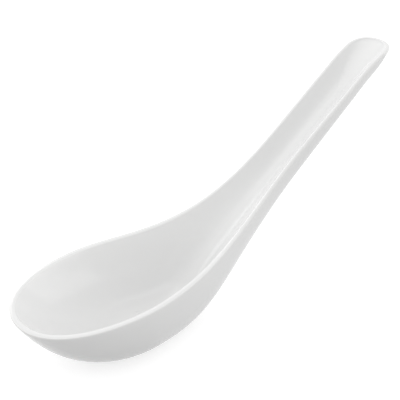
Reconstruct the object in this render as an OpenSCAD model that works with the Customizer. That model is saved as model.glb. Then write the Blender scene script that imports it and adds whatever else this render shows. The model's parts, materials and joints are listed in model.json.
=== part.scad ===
/* [Outline from above] */
// Overall length, tip of the bowl to the end of the handle
spoon_l = 129.5; // [112:0.5:156]
// Length from the tip of the bowl to its widest place
bowl_front = 28.5; // [24:0.1:35]
// Width of the bowl over its lip
bowl_w = 38.6; // [32.5:0.1:48]
// Fullness of the bowl's round front, 2 for an ellipse
bowl_full = 2.2; // [2:0.05:2.5]
// Length over which the bowl draws in to the handle
flank_l = 64; // [50:0.5:75]
// Where the flanks draw in most, below 1 for early
flank_bias = 0.84; // [0.75:0.01:1.1]
// Width of the handle where the flanks end
neck_w = 14; // [12:0.1:18]
// Width of the handle where its round end starts
end_w = 14.4; // [11.8:0.1:17.5]
// Length of the handle's round end
end_l = 7.3; // [6:0.1:9.5]
// Fullness of the handle's round end, 2 for an ellipse
end_full = 2.25; // [2:0.05:3]

/* [Side profile] */
// Height of the lip above the table at the widest place
lip_h = 20.6; // [16.8:0.1:25]
// Drop of the lip at the tip of the bowl
tip_drop = 0.8; // [0:0.1:3]
// Rise of the lip along the bowl in degrees
bowl_tilt = 3.2; // [0:0.1:6]
// Place where the lip starts to bend up, behind the widest place
bend_start = 7.5; // [2:0.5:9]
// Length over which the lip bends up to the handle's slope
bend_l = 53; // [47:0.5:74]
// Slope of the handle in degrees
handle_slope = 36.7; // [30:0.1:44]
// Length of the handle's end that turns outward
curl_l = 12.5; // [9:0.5:24]
// Drop of the handle's tip by that turn
curl_drop = 4; // [2.5:0.1:5.2]
// Deepest place of the bowl, behind the widest place
deep_x = 11; // [8:0.5:16]
// Length over which the underside bends up to the handle
heel_l = 25.5; // [22:0.5:38]
// Slope of the underside beyond the handle's slope in degrees
under_taper = 3.5; // [2:0.1:5]
// Upright depth of the handle where its round end starts, lip to underside
end_depth = 5.2; // [4.8:0.1:7]
// Upright depth of the trough along the handle
trough_d = 4.3; // [3.5:0.1:5]

/* [Cross sections] */
// Sweep of the section at the tip of the bowl in degrees, 90 for an upright lip
tip_sweep = 44; // [37:1:53]
// Sweep of the section across the bowl in degrees
bowl_sweep = 78; // [65:1:90]
// Sweep of the hollow inside the bowl in degrees
hollow_sweep = 66; // [54:1:78]
// Sweep of the section across the handle in degrees
handle_sweep = 88; // [72:1:90]
// Sweep of the trough inside the handle in degrees
trough_sweep = 30; // [25:1:36]
// Sweep of the section at the end of the handle in degrees
end_sweep = 49; // [40:1:60]
// Length over which the trough runs out at the end of the handle
run_l = 18; // [15:0.5:22]
// Width of the flat base under the bowl's deepest place
base_w = 14; // [12:0.5:17]
// Width of the flat floor in the bowl's deepest place
floor_w = 9; // [7:0.5:12]
// Share of the handle's underside that is flat along its middle
handle_flat = 0.6; // [0.5:0.01:0.7]
// Share of the handle's trough that is flat along its middle
trough_flat = 0.12; // [0.1:0.01:0.15]
// Length over which the flat base and floor change to those shares
flat_l = 27; // [22:1:33]

/* [Thicknesses] */
// Thickness of the fired body at the lip of the bowl
bowl_wall_t = 1.4; // [1.1:0.1:1.8]
// Thickness of the fired body at the lip of the handle
handle_wall_t = 1.1; // [0.9:0.1:1.4]
// Upright thickness of the fired body at the floor of the bowl
bowl_floor_t = 5; // [4:0.1:6]
// Thickness of the glaze
glaze_t = 0.25; // [0.2:0.01:0.4]
// Clearance between the glaze and the body that it coats
bond_gap = 0.01; // [0.005:0.005:0.02]

/* [Foot] */
// Length of the bare oval foot
foot_l = 27; // [22:0.5:32.5]
// Width of the bare oval foot
foot_w = 12; // [9.5:0.5:14.5]
// Centre of the foot, behind the widest place
foot_x = 11; // [9:0.5:12]
// Height of the bowl's underside above the table
foot_h = 0.8; // [0.6:0.1:1.4]
// Bare band between the foot and the edge of the glaze
glaze_back = 0.5; // [0.3:0.1:1]

/* [Hidden] */
// Steps along half of the outline: round front, side and round end
front_n = 12;
side_n = 26;
round_n = 8;
half_n = front_n + side_n + round_n;
loop_n = 2 * half_n;
// Steps up the outside, over the lip and down the inside
outer_n = 8;
lip_n = 5;
inner_n = 7;
ring_n = outer_n + lip_n + inner_n + 3;
foot_n = 48;
// Turn of the lip where the walls meet it, in degrees from upright
lip_lean = 20;
// Share of a section that the strip along its very middle takes
strip_share = 0.08;
// Shares of the floor's thickness that the foot and the room for it in the glaze reach up
foot_bite = 0.8;
room_bite = 0.92;
// Share of the foot that the rough opening in the glaze keeps within
opening_share = 0.8;
side_l = spoon_l - bowl_front - end_l;
end_x = spoon_l - bowl_front;
lip_grade = tan(handle_slope) - tan(bowl_tilt);
under_grade = tan(handle_slope + under_taper);
// The underside starts to rise where that gives the wanted depth at the handle's end
heel_x = side_l - heel_l / 2 - (lip_z(side_l) + curl(side_l) - end_depth - foot_h) / under_grade;
base_share = base_w / (2 * half_w(deep_x));
floor_share = floor_w / (2 * half_w(deep_x) - 2 * bowl_wall_t);
foot_top = foot_h + foot_bite * bowl_floor_t;
room_top = foot_h + room_bite * bowl_floor_t;
run_x = end_x - run_l;

function part_of(t) = max(0, min(1, t));
function ease(t) = (1 - cos(180 * part_of(t))) / 2;
function mix(a, b, t) = a + (b - a) * t;

// Rise of a line that is level up to x0 and bends over a length to its grade
function bent_rise(x, x0, l, grade) =
    let (t = part_of((x - x0) / l))
    grade * (l * (t / 2 - sin(180 * t) / (2 * PI)) + max(0, x - x0 - l));

// The larger and the smaller of two values, with a soft change over a width
function soft_max(a, b, width) =
    max(a, b) + pow(max(0, width - abs(a - b)), 2) / (4 * width);
function soft_min(a, b, width) = -soft_max(-a, -b, width);

// Drop of the handle's end as it turns outward
function curl(x) = curl_drop * pow(part_of((x - end_x + curl_l) / curl_l), 2);

function lip_z(x) =
    lip_h
    - tip_drop * pow(part_of(-x / bowl_front), 2)
    + tan(bowl_tilt) * x
    + bent_rise(x, bend_start, bend_l, lip_grade)
    - curl(x);

function under_z(x) = foot_h + bent_rise(x, heel_x, heel_l, under_grade) - curl(x);

function half_w(x) =
    mix(bowl_w / 2, neck_w / 2, ease(pow(part_of(x / flank_l), flank_bias)))
    + (end_w - neck_w) / 2 * part_of((x - flank_l) / (side_l - flank_l));

// Lip seen from above: round front, drawn-in side, round end, then the mirrored half
half_outline = concat(
    [for (k = [0 : front_n])
        let (a = 90 * k / front_n)
        [-bowl_front * pow(cos(a), 2 / bowl_full), bowl_w / 2 * pow(sin(a), 2 / bowl_full)]],
    [for (k = [1 : side_n])
        let (x = side_l * k / side_n)
        [x, half_w(x)]],
    [for (k = [1 : round_n])
        let (a = 90 * k / round_n)
        [side_l + end_l * pow(sin(a), 2 / end_full), end_w / 2 * pow(cos(a), 2 / end_full)]]);

outline = concat(
    half_outline,
    [for (k = [half_n - 1 : -1 : 1]) [half_outline[k].x, -half_outline[k].y]]);

function next(k) = (k + 1) % loop_n;
function last(k) = (k + loop_n - 1) % loop_n;

function inward(k) =
    let (d = outline[next(k)] - outline[last(k)])
    [d.y, -d.x] / norm(d);

// Sections fan out from both ends of the spine and cross the spoon squarely between them
function spine_x(x) = soft_min(run_x, soft_max(deep_x, x, deep_x), run_l / 2);

function sweep_at(x, s, bowl, handle, end) =
    mix(bowl, handle, ease(s / flank_l))
    + (tip_sweep - bowl) * pow(part_of(-x / bowl_front), 2)
    + (end - handle) * pow(part_of((x - run_x) / run_l), 2);

// Share of a section that is flat, from its share at the bowl's deepest place
function flat_at(share, handle, s) = mix(share, handle, ease((s - deep_x) / flat_l));

// Point on a section that follows the underside from the spine, then sweeps up to its top
function section_pt(s, top, thickness, flat, sweep, u) =
    let (
        out = u < 0 ? strip_share : mix(flat, 1, sin(sweep * u) / sin(sweep)),
        up = u < 0 ? 0 : (1 - cos(sweep * u)) / (1 - cos(sweep)),
        x = mix(s, top.x, out),
        rise = top.z - under_z(top.x) - thickness)
    [x, top.y * out, under_z(x) + thickness + rise * up];

function lip_r(x) = mix(bowl_wall_t, handle_wall_t, ease(x / flank_l)) / 2;

// Upright thickness of the floor, which leaves the trough its depth along the handle
function floor_t(s) =
    let (t = ease((s - deep_x) / (flank_l - deep_x)))
    mix(bowl_floor_t, lip_z(s) - under_z(s) - trough_d, pow(t, 2));

// Point on the round lip, which turns from the outside to the inside
function lip_pt(k, turn) =
    let (r = lip_r(outline[k].x), p = outline[k] + inward(k) * r * (1 - cos(turn)))
    [p.x, p.y, lip_z(p.x) - r * (1 - sin(turn))];

function outer_pt(k, u) =
    let (
        x = outline[k].x,
        s = spine_x(x),
        flat = flat_at(base_share, handle_flat, s),
        sweep = sweep_at(x, s, bowl_sweep, handle_sweep, end_sweep))
    section_pt(s, lip_pt(k, lip_lean), 0, flat, sweep, u);

function inner_pt(k, u) =
    let (
        x = outline[k].x,
        s = spine_x(x),
        flat = flat_at(floor_share, trough_flat, s),
        sweep = sweep_at(x, s, hollow_sweep, trough_sweep, trough_sweep))
    section_pt(s, lip_pt(k, 180 - lip_lean), floor_t(s), flat, sweep, u);

// Loops of points from the strip under the spoon, over the lip, to the strip in its floor
rings = concat(
    [for (i = [-1 : outer_n])
        [for (k = [0 : loop_n - 1]) outer_pt(k, i / outer_n)]],
    [for (i = [1 : lip_n - 1])
        [for (k = [0 : loop_n - 1]) lip_pt(k, mix(lip_lean, 180 - lip_lean, i / lip_n))]],
    [for (i = [inner_n : -1 : -1])
        [for (k = [0 : loop_n - 1]) inner_pt(k, i / inner_n)]]);

function normal_at(i, k) =
    let (
        along = rings[i][next(k)] - rings[i][last(k)],
        over = rings[min(i + 1, ring_n - 1)][k] - rings[max(i - 1, 0)][k],
        n = cross(over, along))
    n / norm(n);

// All points of the surface, raised off the body by a thickness
function raised(t) =
    [for (i = [0 : ring_n - 1]) for (k = [0 : loop_n - 1]) rings[i][k] + normal_at(i, k) * t];

function at(i, k) = i * loop_n + k;
function across(k) = (loop_n - k) % loop_n;
function quad(a, b, c, d) = [[a, b, c], [a, c, d]];
function turned(faces) = [for (f = faces) [f[2], f[1], f[0]]];

// Faces between the loops, split alike on both sides
band_faces = [
    for (i = [0 : ring_n - 2])
        for (k = [0 : loop_n - 1])
            let (a = at(i, k), b = at(i, next(k)), c = at(i + 1, next(k)), d = at(i + 1, k))
                each k < half_n ? quad(a, b, c, d) : quad(b, c, d, a)];

// Faces of the flat strip along the middle of a loop, from one station to another
function strip_faces(i, from, to) = [
    for (k = [from : to - 1])
        let (a = at(i, k), b = at(i, k + 1), c = at(i, across(k + 1)), d = at(i, across(k)))
            each k == 0 ? [[a, c, b]] : k == half_n - 1 ? [[a, d, b]] : quad(a, d, c, b)];

floor_faces = turned(strip_faces(ring_n - 1, 0, half_n));

// Stations of the strip under the spoon that lie well within the foot
function foot_reach(p) = norm([(p.x - foot_x) / (foot_l / 2), p.y / (foot_w / 2)]);
under_foot = [for (k = [1 : half_n - 1]) if (foot_reach(rings[0][k]) < opening_share) k];
open_from = min(under_foot);
open_to = max(under_foot);
open_loop = concat(
    [for (k = [open_from : open_to]) k],
    [for (k = [open_to : -1 : open_from]) across(k)]);

module foot_prism(grow, bottom, top) {
    translate([foot_x, 0, bottom])
        linear_extrude(top - bottom)
            polygon([for (k = [0 : foot_n - 1])
                let (a = 360 * k / foot_n)
                [(foot_l / 2 + grow) * cos(a), (foot_w / 2 + grow) * sin(a)]]);
}

module porcelain_body() {
    color("whitesmoke")
        translate([-foot_x, 0, 0])
            union() {
                polyhedron(raised(0), concat(strip_faces(0, 0, half_n), band_faces, floor_faces));
                foot_prism(0, 0, foot_top);
            }
}

module glaze_coat() {
    skin_n = ring_n * loop_n;
    skin = concat(
        strip_faces(0, 0, open_from), band_faces, floor_faces, strip_faces(0, open_to, half_n));
    edge_n = len(open_loop);
    edge = [
        for (e = [0 : edge_n - 1])
            let (a = open_loop[e], b = open_loop[(e + 1) % edge_n])
                each quad(b, a, a + skin_n, b + skin_n)];
    color("white")
        translate([-foot_x, 0, 0])
            difference() {
                polyhedron(
                    concat(raised(bond_gap + glaze_t), raised(bond_gap)),
                    concat(skin, edge, [for (f = turned(skin)) f + [skin_n, skin_n, skin_n]]));
                foot_prism(glaze_back, -foot_h, room_top);
            }
}

porcelain_body();
glaze_coat();
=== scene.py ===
import bpy
import json
import math
import numpy as np
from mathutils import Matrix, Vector

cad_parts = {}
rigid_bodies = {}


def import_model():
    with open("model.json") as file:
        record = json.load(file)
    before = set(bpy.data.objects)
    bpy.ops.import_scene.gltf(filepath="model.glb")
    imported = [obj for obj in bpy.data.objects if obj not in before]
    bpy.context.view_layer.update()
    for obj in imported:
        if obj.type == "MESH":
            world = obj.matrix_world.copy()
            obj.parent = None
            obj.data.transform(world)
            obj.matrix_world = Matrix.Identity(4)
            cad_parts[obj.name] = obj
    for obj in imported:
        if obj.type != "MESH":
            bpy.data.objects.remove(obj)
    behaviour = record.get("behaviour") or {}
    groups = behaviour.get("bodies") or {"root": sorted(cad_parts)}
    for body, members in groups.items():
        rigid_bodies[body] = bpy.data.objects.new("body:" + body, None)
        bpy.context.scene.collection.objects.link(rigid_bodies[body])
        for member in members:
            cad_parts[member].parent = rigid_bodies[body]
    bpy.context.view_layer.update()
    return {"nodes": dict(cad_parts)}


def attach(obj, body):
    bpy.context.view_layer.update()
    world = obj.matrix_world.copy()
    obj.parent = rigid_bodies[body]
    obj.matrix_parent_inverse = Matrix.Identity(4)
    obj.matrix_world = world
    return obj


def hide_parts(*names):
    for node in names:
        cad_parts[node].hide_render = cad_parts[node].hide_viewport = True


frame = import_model()
scene = bpy.context.scene
print("frame loaded:", sorted(frame["nodes"]))


# helpers for picking and shaping
weldReach = 1e-6  # corners closer than this are one
anyAngle = math.pi  # no limit on which triangles pair up into quads


def pickOnly(obj):
    if bpy.context.mode != "OBJECT":
        bpy.ops.object.mode_set(mode="OBJECT")
    bpy.ops.object.select_all(action="DESELECT")
    obj.select_set(True)
    bpy.context.view_layer.objects.active = obj


def copyNode(nodeName, pieceName):
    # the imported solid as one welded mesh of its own, mostly in quads
    obj = frame["nodes"][nodeName].copy()
    obj.data = obj.data.copy()
    obj.parent = None
    for key in list(obj.keys()):
        del obj[key]
    obj.name = obj.data.name = pieceName
    obj.data.materials.clear()
    scene.collection.objects.link(obj)
    pickOnly(obj)
    bpy.ops.object.mode_set(mode="EDIT")
    bpy.ops.mesh.select_all(action="SELECT")
    bpy.ops.mesh.remove_doubles(threshold=weldReach)
    bpy.ops.mesh.tris_convert_to_quads(face_threshold=anyAngle, shape_threshold=anyAngle)
    bpy.ops.object.mode_set(mode="OBJECT")
    return obj


def sharpEdges(obj, angle):
    # edges whose two faces turn from one another by more than the angle
    sides = {}
    for face in obj.data.polygons:
        for key in face.edge_keys:
            sides.setdefault(key, []).append(face.normal)
    return [e for e in obj.data.edges
            if len(sides[e.key]) == 2 and sides[e.key][0].angle(sides[e.key][1], 0) > angle]


def creaseEdges(obj, edges):
    crease = obj.data.attributes.new("crease_edge", "FLOAT", "EDGE")
    for e in edges:
        crease.data[e.index].value = 1


def readPoints(mesh):
    points = np.empty(len(mesh.vertices) * 3, np.float32)
    mesh.vertices.foreach_get("co", points)
    return points.reshape(-1, 3)


def subdivide(obj, levels, letOutFrom):
    pickOnly(obj)
    mod = obj.modifiers.new("round", "SUBSURF")
    mod.levels = mod.render_levels = levels
    # rounding draws a skin in, so from this height up its cage is first let out by as much
    packed = readPoints(obj.data)
    rounded = readPoints(obj.evaluated_get(bpy.context.evaluated_depsgraph_get()).data)
    drawnIn = packed - rounded[:len(packed)]
    cage = packed + drawnIn * (packed[:, 2:] >= letOutFrom)
    obj.data.vertices.foreach_set("co", cage.ravel())
    obj.data.update()
    bpy.ops.object.modifier_apply(modifier=mod.name)


# glaze skin: the coat over all but the foot
glaze = {
    "levels": 2,
    "letOutFrom": 0,
    "edgeAngle": math.radians(60),  # sharper edges than this are kept
    "footX": 0.0150,  # the wiped edge lies inside this reach of the foot's centre
    "footY": 0.0075,
    "footZ": 0.0058,
}


def makeGlaze():
    obj = copyNode("glaze_coat", "glazeSkin")
    wiped = []
    for e in sharpEdges(obj, glaze["edgeAngle"]):
        mid = sum((obj.data.vertices[v].co for v in e.vertices), Vector()) / 2
        if abs(mid.x) < glaze["footX"] and abs(mid.y) < glaze["footY"] and mid.z < glaze["footZ"]:
            wiped.append(e)
    creaseEdges(obj, wiped)
    subdivide(obj, glaze["levels"], glaze["letOutFrom"])
    bpy.ops.object.shade_smooth_by_angle(angle=glaze["edgeAngle"])
    print("glaze skin:", len(wiped), "edges at the wiped line,", len(obj.data.polygons), "faces")
    return obj


glazeSkin = makeGlaze()

# fired body: hidden under the glaze, bare at the foot
body = {
    "levels": 1,
    "letOutFrom": 0.0062,  # the foot's own edge is left as it is
    "edgeAngle": math.radians(50),
    "groundEdge": 0.00025,  # rounding of the foot's ground edge
    "groundSteps": 3,
    "groundProfile": 0.5,
    "tableGap": 1e-5,  # points lower than this stand on the table
}


def makeBody():
    obj = copyNode("porcelain_body", "firedBody")
    bpy.ops.object.mode_set(mode="EDIT")
    bpy.ops.mesh.select_mode(type="EDGE")
    bpy.ops.mesh.select_all(action="DESELECT")
    bpy.ops.object.mode_set(mode="OBJECT")
    verts = obj.data.vertices
    for e in sharpEdges(obj, body["edgeAngle"]):
        e.select = all(verts[v].co.z < body["tableGap"] for v in e.vertices)
    bpy.ops.object.mode_set(mode="EDIT")
    bpy.ops.mesh.bevel(offset=body["groundEdge"], segments=body["groundSteps"], profile=body["groundProfile"])
    bpy.ops.object.mode_set(mode="OBJECT")
    creaseEdges(obj, sharpEdges(obj, body["edgeAngle"]))
    subdivide(obj, body["levels"], body["letOutFrom"])
    bpy.ops.object.shade_smooth_by_angle(angle=body["edgeAngle"])
    print("fired body:", len(obj.data.polygons), "faces")
    return obj


firedBody = makeBody()


# shader helpers
def newMaterial(name):
    mat = bpy.data.materials.new(name)
    mat.use_nodes = True
    return mat, mat.node_tree, mat.node_tree.nodes["Principled BSDF"]


def fill(tree, made, inputs):
    for key, value in inputs.items():
        if isinstance(value, bpy.types.NodeSocket):
            tree.links.new(value, made.inputs[key])
        else:
            made.inputs[key].default_value = value


def addNode(tree, kind, inputs, **settings):
    made = tree.nodes.new("ShaderNode" + kind)
    for key, value in settings.items():
        setattr(made, key, value)
    fill(tree, made, inputs)
    return made


def mixColor(tree, factor, first, second):
    # in a colour mix, sockets 6 and 7 are the two colours and output 2 is the result
    made = addNode(tree, "Mix", {0: factor, 6: first, 7: second}, data_type="RGBA")
    return made.outputs[2]


def newGroup(name, inputs, output):
    # first input is the place on the object, the rest are numbers
    group = bpy.data.node_groups.new(name, "ShaderNodeTree")
    group.interface.new_socket("Vector", in_out="INPUT", socket_type="NodeSocketVector")
    for key in inputs:
        group.interface.new_socket(key, in_out="INPUT", socket_type="NodeSocketFloat")
    group.interface.new_socket(output, in_out="OUTPUT", socket_type="NodeSocketFloat")
    return group, group.nodes.new("NodeGroupInput").outputs, group.nodes.new("NodeGroupOutput").inputs


def useGroup(tree, group, inputs):
    made = tree.nodes.new("ShaderNodeGroup")
    made.node_tree = group
    fill(tree, made, inputs)
    return made.outputs[0]


# broad soft clouds that firing leaves in the white
cloudDetail = 3
cloudLow, cloudHigh = 0.3, 0.7  # the part of the noise that is spread over the whole range
firingClouds, groupIn, groupOut = newGroup("firingClouds", ("Scale", "Low", "High"), "Tone")
cloud = addNode(firingClouds, "TexNoise", {
    "Vector": groupIn["Vector"], "Scale": groupIn["Scale"], "Detail": cloudDetail})
tone = addNode(firingClouds, "MapRange", {
    "Value": cloud.outputs["Fac"], "From Min": cloudLow, "From Max": cloudHigh,
    "To Min": groupIn["Low"], "To Max": groupIn["High"]})
firingClouds.links.new(tone.outputs["Result"], groupOut["Tone"])

# tiny specks of iron that come to the surface here and there
speckCore = 0.35  # share of a speck's reach that has its full depth
kilnSpecks, groupIn, groupOut = newGroup("kilnSpecks", ("Scale", "Size", "Depth"), "Mask")
cell = addNode(kilnSpecks, "TexVoronoi", {"Vector": groupIn["Vector"], "Scale": groupIn["Scale"]})
core = addNode(kilnSpecks, "Math", {0: groupIn["Size"], 1: speckCore}, operation="MULTIPLY")
spot = addNode(kilnSpecks, "MapRange", {
    "Value": cell.outputs["Distance"], "From Min": groupIn["Size"], "From Max": core.outputs[0],
    "To Min": 0, "To Max": groupIn["Depth"]}, interpolation_type="SMOOTHSTEP")
kilnSpecks.links.new(spot.outputs["Result"], groupOut["Mask"])

# slow swell of a surface with a finer grain on it
swellDetail, grainDetail = 1, 2
skinRipple, groupIn, groupOut = newGroup("skinRipple", ("Swell", "Grain", "Grain Share"), "Height")
swell = addNode(skinRipple, "TexNoise", {
    "Vector": groupIn["Vector"], "Scale": groupIn["Swell"], "Detail": swellDetail})
grain = addNode(skinRipple, "TexNoise", {
    "Vector": groupIn["Vector"], "Scale": groupIn["Grain"], "Detail": grainDetail})
rise = addNode(skinRipple, "Math", {
    0: grain.outputs["Fac"], 1: groupIn["Grain Share"], 2: swell.outputs["Fac"]}, operation="MULTIPLY_ADD")
skinRipple.links.new(rise.outputs[0], groupOut["Height"])
print("finish groups:", [g.name for g in bpy.data.node_groups])


shortestStep = 1e-12  # square metres, so that no edge divides by nought


def markBend(obj):
    # how far the surface curves, per metre: plus over the lip, minus along the hollows
    mesh = obj.data
    count = len(mesh.vertices)
    place = readPoints(mesh)
    facing = np.empty(count * 3, np.float32)
    ends = np.empty(len(mesh.edges) * 2, np.int32)
    mesh.vertex_normals.foreach_get("vector", facing)
    mesh.edges.foreach_get("vertices", ends)
    facing, ends = facing.reshape(-1, 3), ends.reshape(-1, 2)
    step = place[ends[:, 1]] - place[ends[:, 0]]
    turn = facing[ends[:, 1]] - facing[ends[:, 0]]
    bend = (step * turn).sum(1) / np.maximum((step * step).sum(1), shortestStep)
    total = np.bincount(ends.ravel(), np.repeat(bend, 2), count)
    share = np.bincount(ends.ravel(), minlength=count)
    attribute = mesh.attributes.new("bend", "FLOAT", "POINT")
    attribute.data.foreach_set("value", (total / np.maximum(share, 1)).astype(np.float32))


white = {
    "even": (0.800, 0.800, 0.796, 1),
    "pooled": (0.782, 0.785, 0.784, 1),  # thicker glaze in the hollows is a little cooler
    "thin": (0.806, 0.803, 0.797, 1),  # over the lip the warmer body comes through
    "speck": (0.42, 0.38, 0.33, 1),
    "poolBend": 220,  # hollow enough for the full pooled tone
    "thinBend": (270, 900),  # where the glaze begins to thin and where it is thinnest
    "ior": 1.5,
    "clouds": {"Scale": 38, "Low": 0.0, "High": 0.35},
    "specks": {"Scale": 190, "Size": 0.04, "Depth": 0.22},
    "ripple": {"Swell": 260, "Grain": 1500, "Grain Share": 0.1},
    "rippleHeight": 1.2e-5,
    "gloss": {"Scale": 90, "Low": 0.14, "High": 0.19},
    "lipDull": 0.2,  # the thin glaze on the lip shines less
}


def makeWhiteGlaze():
    mat, tree, bsdf = newMaterial("whiteGlaze")
    where = tree.nodes.new("ShaderNodeTexCoord").outputs["Object"]
    bend = addNode(tree, "Attribute", {}, attribute_name="bend").outputs["Fac"]
    pool = addNode(tree, "MapRange", {"Value": bend, "From Min": 0, "From Max": -white["poolBend"]},
                   interpolation_type="SMOOTHSTEP").outputs["Result"]
    thinFrom, thinnest = white["thinBend"]
    thin = addNode(tree, "MapRange", {"Value": bend, "From Min": thinFrom, "From Max": thinnest},
                   interpolation_type="SMOOTHSTEP").outputs["Result"]
    clouds = useGroup(tree, firingClouds, {"Vector": where, **white["clouds"]})
    specks = useGroup(tree, kilnSpecks, {"Vector": where, **white["specks"]})
    color = mixColor(tree, clouds, white["even"], white["pooled"])
    color = mixColor(tree, pool, color, white["pooled"])
    color = mixColor(tree, thin, color, white["thin"])
    color = mixColor(tree, specks, color, white["speck"])
    gloss = useGroup(tree, firingClouds, {"Vector": where, **white["gloss"]})
    dulled = addNode(tree, "Math", {0: thin, 1: white["lipDull"], 2: gloss}, operation="MULTIPLY_ADD")
    height = useGroup(tree, skinRipple, {"Vector": where, **white["ripple"]})
    bump = addNode(tree, "Bump", {"Height": height, "Strength": 1, "Distance": white["rippleHeight"]})
    fill(tree, bsdf, {
        "Base Color": color, "Roughness": dulled.outputs[0],
        "Normal": bump.outputs["Normal"], "IOR": white["ior"]})
    return mat


bare = {
    "fired": (0.760, 0.738, 0.700, 1),
    "rubbed": (0.690, 0.664, 0.624, 1),
    "speck": (0.34, 0.29, 0.24, 1),
    "clouds": {"Scale": 160, "Low": 0.0, "High": 0.8},
    "specks": {"Scale": 520, "Size": 0.10, "Depth": 0.5},
    "ripple": {"Swell": 900, "Grain": 5200, "Grain Share": 0.7},
    "grainHeight": 2.5e-5,
    "matt": {"Scale": 420, "Low": 0.52, "High": 0.72},
}


def makeBarePorcelain():
    mat, tree, bsdf = newMaterial("barePorcelain")
    where = tree.nodes.new("ShaderNodeTexCoord").outputs["Object"]
    clouds = useGroup(tree, firingClouds, {"Vector": where, **bare["clouds"]})
    specks = useGroup(tree, kilnSpecks, {"Vector": where, **bare["specks"]})
    color = mixColor(tree, clouds, bare["fired"], bare["rubbed"])
    color = mixColor(tree, specks, color, bare["speck"])
    matt = useGroup(tree, firingClouds, {"Vector": where, **bare["matt"]})
    height = useGroup(tree, skinRipple, {"Vector": where, **bare["ripple"]})
    bump = addNode(tree, "Bump", {"Height": height, "Strength": 1, "Distance": bare["grainHeight"]})
    fill(tree, bsdf, {"Base Color": color, "Roughness": matt, "Normal": bump.outputs["Normal"]})
    return mat


markBend(glazeSkin)
glazeSkin.data.materials.append(makeWhiteGlaze())
firedBody.data.materials.append(makeBarePorcelain())
for obj, node, finish in (
        (glazeSkin, "glaze_coat", "white_glaze"),
        (firedBody, "porcelain_body", "bare_porcelain")):
    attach(obj, "root")
    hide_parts(node)
print("finishes on:", [m.name for m in bpy.data.materials])

# floor, light and camera
shot = {
    "turn": math.radians(-37.607),
    "height": math.radians(28.406),
    "reach": 0.25187,
    "aim": (0.01979, 0, 0.03531),
    "lens": 79.85,
    "sensor": 36,
    "nearest": 0.01,
}
studio = {
    "floorReach": 3,
    "floorSteps": 96,
    "floorRough": 0.9,
    "floorSheen": 0.1,
    "footRoom": (0.0128, 0.0055),  # left out of the floor, so that the foot has light from below
    "floorTone": 0.48,  # what the floor gives back to the spoon
    "floorGlow": 0.68,  # brings it up to white for the eye
    "worldFill": 0.87,
    "boxReach": 0.8,
    "aim": (0.02, 0, 0.03),
    # turn from the picture's right and height in degrees, width, length, brightness
    "boxes": {
        "rightBox": (355, 18, 1.0, 0.45, 0.97),
        "backBox": (150, 15, 1.2, 0.5, 1.3),
        "topBox": (120, 64, 0.6, 0.6, 0.72),
    },
}


def seenDirectly(tree):
    # one for what the camera, a gloss or a glass shows, nought for light scattered on
    path = tree.nodes.new("ShaderNodeLightPath").outputs
    first = addNode(tree, "Math", {0: path["Is Camera Ray"], 1: path["Is Glossy Ray"]}, operation="MAXIMUM")
    both = addNode(tree, "Math", {0: first.outputs[0], 1: path["Is Transmission Ray"]}, operation="MAXIMUM")
    return both.outputs[0]


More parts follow.
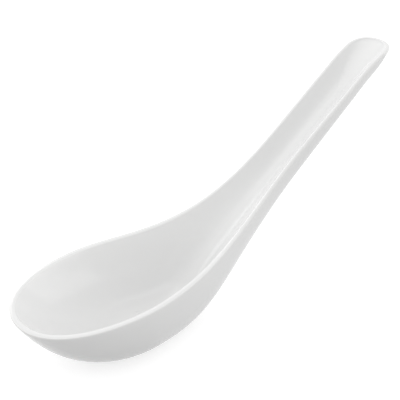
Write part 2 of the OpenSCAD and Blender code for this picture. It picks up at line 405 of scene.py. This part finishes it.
def makeFloor():
    bpy.ops.object.select_all(action="DESELECT")
    bpy.ops.mesh.primitive_circle_add(vertices=studio["floorSteps"], radius=1)
    floor = bpy.context.object
    floor.name = "floor"
    long, wide = studio["footRoom"]
    bpy.ops.object.mode_set(mode="EDIT")
    bpy.ops.mesh.select_all(action="SELECT")
    bpy.ops.transform.resize(value=(long, wide, 1))
    bpy.ops.mesh.extrude_edges_move()
    bpy.ops.transform.resize(value=(studio["floorReach"] / long, studio["floorReach"] / wide, 1))
    bpy.ops.mesh.select_all(action="SELECT")
    bpy.ops.mesh.normals_make_consistent()
    bpy.ops.object.mode_set(mode="OBJECT")
    if floor.data.polygons[0].normal.z < 0:
        floor.data.flip_normals()
    mat, tree, bsdf = newMaterial("paleFloor")
    glow = addNode(tree, "Math", {0: seenDirectly(tree), 1: studio["floorGlow"]}, operation="MULTIPLY")
    fill(tree, bsdf, {
        "Base Color": (studio["floorTone"],) * 3 + (1,),
        "Roughness": studio["floorRough"], "Specular IOR Level": studio["floorSheen"],
        "Emission Color": (1, 1, 1, 1), "Emission Strength": glow.outputs[0]})
    # from below it is clear, so the foot can be looked at
    clear = tree.nodes.new("ShaderNodeBsdfTransparent").outputs["BSDF"]
    below = tree.nodes.new("ShaderNodeNewGeometry").outputs["Backfacing"]
    either = addNode(tree, "MixShader", {0: below, 1: bsdf.outputs["BSDF"], 2: clear})
    fill(tree, tree.nodes["Material Output"], {"Surface": either.outputs["Shader"]})
    floor.data.materials.append(mat)


def makeWorld():
    world = bpy.data.worlds.new("studio")
    scene.world = world
    world.use_nodes = True
    tree = world.node_tree
    level = addNode(tree, "MapRange", {"Value": seenDirectly(tree), "To Min": studio["worldFill"], "To Max": 1})
    fill(tree, tree.nodes["Background"], {"Color": (1, 1, 1, 1), "Strength": level.outputs["Result"]})


def makeSoftbox(name, turn, height, width, length, brightness):
    side = math.radians(turn) + shot["turn"]
    up = math.radians(height)
    out = Vector((math.cos(side) * math.cos(up), math.sin(side) * math.cos(up), math.sin(up)))
    lamp = bpy.data.lights.new(name, "AREA")
    lamp.shape = "RECTANGLE"
    lamp.size, lamp.size_y = width, length
    lamp.energy = brightness * math.pi * width * length
    box = bpy.data.objects.new(name, lamp)
    scene.collection.objects.link(box)
    box.location = Vector(studio["aim"]) + out * studio["boxReach"]
    box.rotation_euler = (-out).to_track_quat("-Z", "Y").to_euler()


def makeCamera():
    back = Vector((math.sin(shot["turn"]) * math.cos(shot["height"]),
                   -math.cos(shot["turn"]) * math.cos(shot["height"]), math.sin(shot["height"])))
    lens = bpy.data.cameras.new("camera")
    lens.lens = shot["lens"]
    lens.sensor_width = shot["sensor"]
    lens.clip_start = shot["nearest"]
    camera = bpy.data.objects.new("camera", lens)
    scene.collection.objects.link(camera)
    camera.location = Vector(shot["aim"]) + back * shot["reach"]
    camera.rotation_euler = (-back).to_track_quat("-Z", "Y").to_euler()
    scene.camera = camera


makeFloor()
makeWorld()
for name, place in studio["boxes"].items():
    makeSoftbox(name, *place)
makeCamera()
scene.view_settings.view_transform = "Standard"
